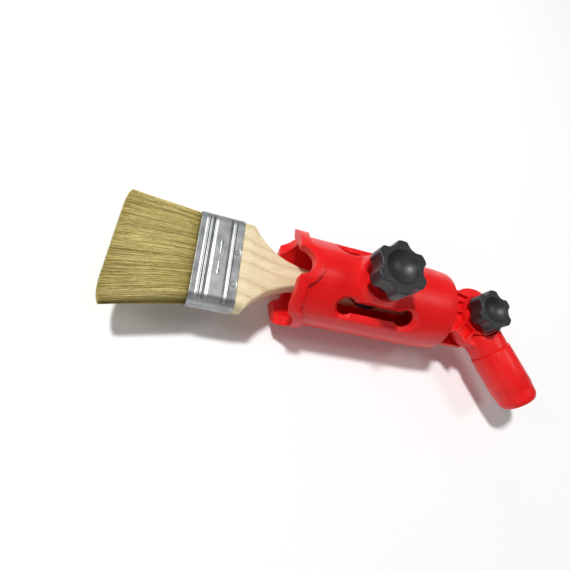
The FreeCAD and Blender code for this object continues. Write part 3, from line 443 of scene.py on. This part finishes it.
def hair(tuft, dice, clumps):
    """The middle line of one hair and the width and tone that it has."""
    across = dice.uniform(-1.0, 1.0)
    out = dice.random() ** 0.72
    clump = min(clumps, key=lambda c: abs(c[0] - across) + 0.12 * abs(c[1] - out))
    pull = dice.uniform(0.0, 0.6)
    tip_across = across + (clump[0] - across) * pull + dice.gauss(0.0, 0.016)
    tip_out = min(1.0, max(0.0, out + (clump[1] - out) * pull * 0.5 + dice.gauss(0.0, 0.05)))
    tip_across = min(1.0, max(-1.0, tip_across))
    rounding = 0.05 * abs(tip_across) ** 10
    short = dice.uniform(0.0, 0.10) if dice.random() < 0.06 else 0.0
    reach = 1.0 - rounding - short - abs(dice.gauss(0.0, 0.012))
    wave = dice.uniform(-0.012, 0.012)
    phase = dice.uniform(0.0, math.tau)
    line = []
    for i in range(HAIR_RINGS):
        along = i / (HAIR_RINGS - 1)
        mix = along ** 1.4
        sway = wave * math.sin(phase + 5.0 * along) * along * (1.0 - 0.8 * abs(across) ** 6)
        here = (across + (tip_across - across) * mix + sway, out + (tip_out - out) * mix)
        line.append(tuft.spot(*here, along * reach))
    return line, HAIR_RADIUS * dice.uniform(0.75, 1.2), clump[2]


def hair_mesh(line, radius, points, faces):
    """Add one hair: a three-sided tapered tube with blunt ends."""
    start = len(points)
    count = len(line)
    for i, middle in enumerate(line):
        size = radius * MM * (1.0 - 0.35 * (i / (count - 1)) ** 2)
        for corner in range(3):
            turn = math.tau * corner / 3 + 0.5
            points.append(middle + Vector((0.0, math.cos(turn) * size, math.sin(turn) * size)))
    for i in range(count - 1):
        low, high = start + 3 * i, start + 3 * i + 3
        for a, b in ((0, 1), (1, 2), (2, 0)):
            faces.append((low + a, low + b, high + b, high + a))
    faces.append((start + 2, start + 1, start))
    last = start + 3 * (count - 1)
    faces.append((last, last + 1, last + 2))


def tuft(name, node, side, seed):
    """One tuft of separate hairs that stands for a CAD bristle solid."""
    dice = random.Random(seed)
    room = Tuft(node, side)
    clumps = [(dice.uniform(-1.0, 1.0), dice.random(), dice.uniform(0.0, 1.0)) for _ in range(420)]
    points, faces, tones, places = [], [], [], []
    for _ in range(HAIRS_PER_TUFT):
        line, radius, clump_tone = hair(room, dice, clumps)
        hair_mesh(line, radius, points, faces)
        tone = min(1.0, max(0.0, 0.28 * clump_tone + 0.72 * dice.random() + dice.gauss(0.0, 0.08)))
        for i in range(HAIR_RINGS):
            tones += [tone] * 3
            places += [i / (HAIR_RINGS - 1)] * 3
    made = piece(name, points, faces, "bristle", "brush", node)
    for label, values in (("tone", tones), ("along", places)):
        made.data.attributes.new(label, "FLOAT", "POINT").data.foreach_set("value", values)
    return made


# ---------------------------------------------------------------- ferrule
# in millimetres: how far the rims turn inwards, a ridge's height and the corners' radius
RIM = 0.6
RISE = 0.42
CORNER = 6.0


def cross_pattern(depth):
    """Height in millimetres of the rolled pattern on the broad faces, from the bristle edge."""
    height = RISE * (hump(4.6, 0.85, depth) + hump(6.4, 0.85, depth) + hump(19.9, 0.85, depth))
    height -= 0.34 * (hump(8.1, 0.75, depth) + hump(18.3, 0.75, depth))
    height -= 0.30 * (1.0 - smooth_step(3.0, 3.8, depth)) * depth / 3.8
    panel = smooth_step(8.9, 9.6, depth) * (1.0 - smooth_step(16.9, 17.6, depth))
    return height + 0.22 * panel


def side_pattern(depth, level):
    """Height of the lengthwise ridges on the narrow sides, at a level above the mid plane."""
    run = smooth_step(1.6, 2.6, depth) * (1.0 - smooth_step(22.6, 23.6, depth))
    return run * RISE * (hump(2.6, 0.8, abs(level)) - 1.1 * hump(0.0, 1.3, abs(level)))


def arrow_mark(depth, across):
    """Height of a plain double arrow pressed across the panel."""
    shaft = hump(13.2, 0.28, depth) * (1.0 - smooth_step(9.4, 9.8, abs(across)))
    tip = 10.4 - abs(across)
    head = hump(13.2, max(0.05, 0.55 * tip), depth) if 0.0 < tip < 2.6 else 0.0
    gap = smooth_step(2.2, 2.6, abs(across))
    return 0.16 * max(shaft, head) * gap


def outline_points(half_wide, half_thick):
    """Places round a rounded rectangle, each with its outward direction."""
    spots = []
    flat_wide, flat_thick = half_wide - CORNER, half_thick - CORNER
    for turn in range(4):
        wide, thick = (flat_wide, flat_thick) if turn % 2 == 0 else (flat_thick, flat_wide)
        count = 90 if turn % 2 else 16
        away = Vector((math.cos(turn * math.pi / 2), math.sin(turn * math.pi / 2)))
        side = Vector((-away.y, away.x))
        for i in range(count):
            run = -thick + 2 * thick * i / count
            spots.append((away * (wide + CORNER) + side * run, away))
        for i in range(12):
            bend = turn * math.pi / 2 + math.pi / 2 * i / 12
            corner = away * wide + side * thick
            out = Vector((math.cos(bend), math.sin(bend)))
            spots.append((corner + out * CORNER, out))
    return spots


def ferrule():
    """The sheet-metal band with its rolled ridges, pressed panel and nail dimples."""
    low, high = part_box("ferrule")
    nails_low, nails_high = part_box("ferrule_nails")
    middle = (low.y + high.y) / 2
    half_wide = (high.y - low.y) / 2 / MM - 0.45
    half_thick = (high.z - low.z) / 2 / MM - 0.45
    length = (high.x - low.x) / MM
    nail_depth = length - 2.0
    nail_rows = [(nails_low.y - middle) / MM + 1.1, (nails_high.y - middle) / MM - 1.1]
    spots = outline_points(half_wide, half_thick)
    stations = [(4.0, -RIM), (1.0, -RIM), (0.25, -RIM), (0.05, -0.4), (0.0, -0.2)]
    stations += [(0.06 + length * i / 110 * 0.995, None) for i in range(111)]
    stations += [(length, -0.2), (length - 0.05, -0.45), (length - 0.3, -RIM), (length - 3.0, -RIM)]
    points = []
    for depth, inward in stations:
        for spot, out in spots:
            across, level = spot
            if inward is not None:
                rise = inward
            else:
                broad = 1.0 - smooth_step(half_wide - 3.4, half_wide - 1.6, abs(across))
                narrow = smooth_step(half_wide - 2.0, half_wide - 0.6, abs(across))
                rise = broad * (cross_pattern(depth) + arrow_mark(depth, across))
                rise += narrow * side_pattern(depth, level)
                for row in nail_rows:
                    reach = math.hypot(depth - nail_depth, across - row)
                    rise -= 0.20 * broad * (1.0 - smooth_step(0.8, 2.2, reach))
            place = spot + out * rise
            points.append(Vector((high.x - depth * MM, middle + place.x * MM, place.y * MM)))
    faces = grid_faces(len(stations), len(spots))
    return piece("ferrule_band", points, faces, "tinned_steel", "brush", "ferrule")


# ---------------------------------------------------------------- screw threads
def thread_height(phase, flat):
    """Height of a thread's section from 0 to 1 over one pitch, with flats at root and crest."""
    ramp_run = (1.0 - 2.0 * flat) / 2.0
    if phase < flat:
        return 0.0
    if phase < flat + ramp_run:
        return (phase - flat) / ramp_run
    if phase < 2.0 * flat + ramp_run:
        return 1.0
    return (1.0 - phase) / ramp_run


def threaded(name, frame_matrix, radius_at, pitch, length, around, finish, body, node=None):
    """A threaded surface along its own Z, whose radius comes from height and thread section."""
    steps = max(2, int(length / pitch * 12))
    points = []
    for step in range(steps + 1):
        height = length * step / steps
        for i in range(around):
            turn = math.tau * i / around
            phase = (height / pitch - i / around) % 1.0
            radius = radius_at(height, phase)
            spot = Vector((radius * math.cos(turn), radius * math.sin(turn), height)) * MM
            points.append(frame_matrix @ spot)
    faces = grid_faces(steps + 1, around)
    faces.append(tuple(reversed(range(around))))
    faces.append(tuple(range(steps * around, (steps + 1) * around)))
    return piece(name, points, faces, finish, body, node)


STUD_PITCH = 1.25
STUD_RADIUS = 4.0
STUD_GROOVE = 3.2
STUD_ROOT = 3.32
STUD_THREAD = 0.66


def clamp_stud():
    """The M8 stud with its thread, clip groove and chamfered foot."""
    low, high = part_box("clamp_stud")
    clip_low, clip_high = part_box("pad_clip")
    place = Matrix.Translation(((low.x + high.x) / 2, (low.y + high.y) / 2, low.z))
    groove = [(z - low.z) / MM for z in (clip_low.z, clip_high.z)]

    def radius_at(height, phase):
        """Full thread above the clip's groove, plain below it."""
        if groove[0] < height < groove[1]:
            return STUD_GROOVE
        if height < groove[1] + 0.4:
            return min(STUD_RADIUS, STUD_RADIUS - 1.0 + height)
        return STUD_ROOT + STUD_THREAD * thread_height(phase, 0.14)

    length = (high.z - low.z) / MM
    return threaded("clamp_stud_thread", place, radius_at, STUD_PITCH, length, 40, "zinc_steel",
                    "clamp_screw", "clamp_stud")


INCH = 25.4
THREADS_PER_INCH = 5
STEPS_PER_TURN = 40


def pole_thread():
    """The coarse thread inside the pole socket, as a ridge that winds up its wall."""
    mount = frame["record"]["mounts"][0]
    axis = Vector(mount["axis"]).normalized()
    wall = mount["dims"]["r_mm"]
    pitch = INCH / THREADS_PER_INCH
    place = Matrix.Translation(mount["pos_m"]) @ (-axis).to_track_quat("Z", "Y").to_matrix().to_4x4()
    start, length = 2.2, 30.0
    rings = int(length / pitch * STEPS_PER_TURN)
    section = [(-1.55, 0.05), (-0.75, -1.75), (0.75, -1.75), (1.55, 0.05)]
    points, faces = [], []
    for i in range(rings + 1):
        turn = -math.tau * i / STEPS_PER_TURN
        height = start + pitch * i / STEPS_PER_TURN
        fade = smooth_step(0, 14, i) * (1.0 - smooth_step(rings - 14, rings, i))
        for run, rise in section:
            radius = wall + 0.05 + (rise - 0.05) * fade
            spot = Vector((radius * math.cos(turn), radius * math.sin(turn), height + run)) * MM
            points.append(place @ spot)
        if i:
            low, high = 4 * (i - 1), 4 * i
            for k in range(3):
                faces.append((low + k, low + k + 1, high + k + 1, high + k))
    made = piece("pole_thread", points, faces, "red_plastic", "pole_end")
    for face in made.data.polygons:
        face.use_smooth = False
    return made


# ---------------------------------------------------------------- studio
def floor():
    """A pale floor just under the lowest point."""
    lowest = CAD_BOX[0][2]
    size = 6.0
    corners = [(-size, -size, lowest), (size, -size, lowest), (size, size, lowest), (-size, size, lowest)]
    mesh = bpy.data.meshes.new("floor")
    mesh.from_pydata(corners, [], [(0, 1, 2, 3)])
    mesh.materials.append(floor_paper())
    made = bpy.data.objects.new("floor", mesh)
    bpy.context.scene.collection.objects.link(made)


def area_light(name, target, direction, distance, size, power):
    """A soft square light that looks at the target from a direction."""
    data = bpy.data.lights.new(name, "AREA")
    data.size = size
    data.energy = power
    made = bpy.data.objects.new(name, data)
    bpy.context.scene.collection.objects.link(made)
    away = Vector(direction).normalized()
    made.location = target + away * distance
    made.rotation_mode = "QUATERNION"
    made.rotation_quaternion = away.to_track_quat("Z", "Y")


def sky(strength):
    """Even white light from all round."""
    world = bpy.data.worlds.new("studio")
    world.use_nodes = True
    background = world.node_tree.nodes["Background"]
    background.inputs["Color"].default_value = (1.0, 1.0, 1.0, 1.0)
    background.inputs["Strength"].default_value = strength
    bpy.context.scene.world = world


def camera(mouth):
    """The camera, placed from the middle of the tube's mouth."""
    lens = bpy.data.cameras.new("camera")
    lens.lens = 27.16
    made = bpy.data.objects.new("camera", lens)
    bpy.context.scene.collection.objects.link(made)
    right, up = Vector((-0.933, -0.086, 0.350)), Vector((0.206, -0.924, 0.321))
    back = right.cross(up).normalized()
    right = up.cross(back).normalized()
    turn = Matrix((right, back.cross(right), back)).transposed().to_4x4()
    made.matrix_world = Matrix.Translation(mouth + Vector((75.0, 98.6, 220.9)) * MM) @ turn
    bpy.context.scene.camera = made


def studio():
    """Floor, lights, sky and camera."""
    low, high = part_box("clamp_tube")
    mouth = Vector((high.x - 2 * MM, (low.y + high.y) / 2, 0.0))
    middle = mouth - Vector((0.02, 0.0, 0.0))
    floor()
    area_light("key", middle, (0.38, -0.28, 1.0), 2.4, 0.24, 48.0)
    area_light("fill", middle, (0.2, 1.0, 0.6), 1.0, 0.80, 1.05)
    area_light("side", middle, (1.0, -0.1, 0.8), 0.8, 0.30, 0.5)
    area_light("rear", middle, (-0.56, -0.09, 0.82), 1.0, 0.26, 1.3)
    area_light("top", middle, (0.1, -1.0, 0.45), 1.0, 0.50, 0.7)
    sky(0.14)
    camera(mouth)
    bpy.context.scene.view_settings.view_transform = "Standard"


# ---------------------------------------------------------------- the whole
paint_nodes()
for label, edge_width in EDGE_WIDTHS.items():
    soften(NODES[label], edge_width)
tuft("bristle_hairs_front", "bristle_front", 1, 11)
tuft("bristle_hairs_back", "bristle_back", -1, 23)
ferrule()
clamp_stud()
pole_thread()
studio()
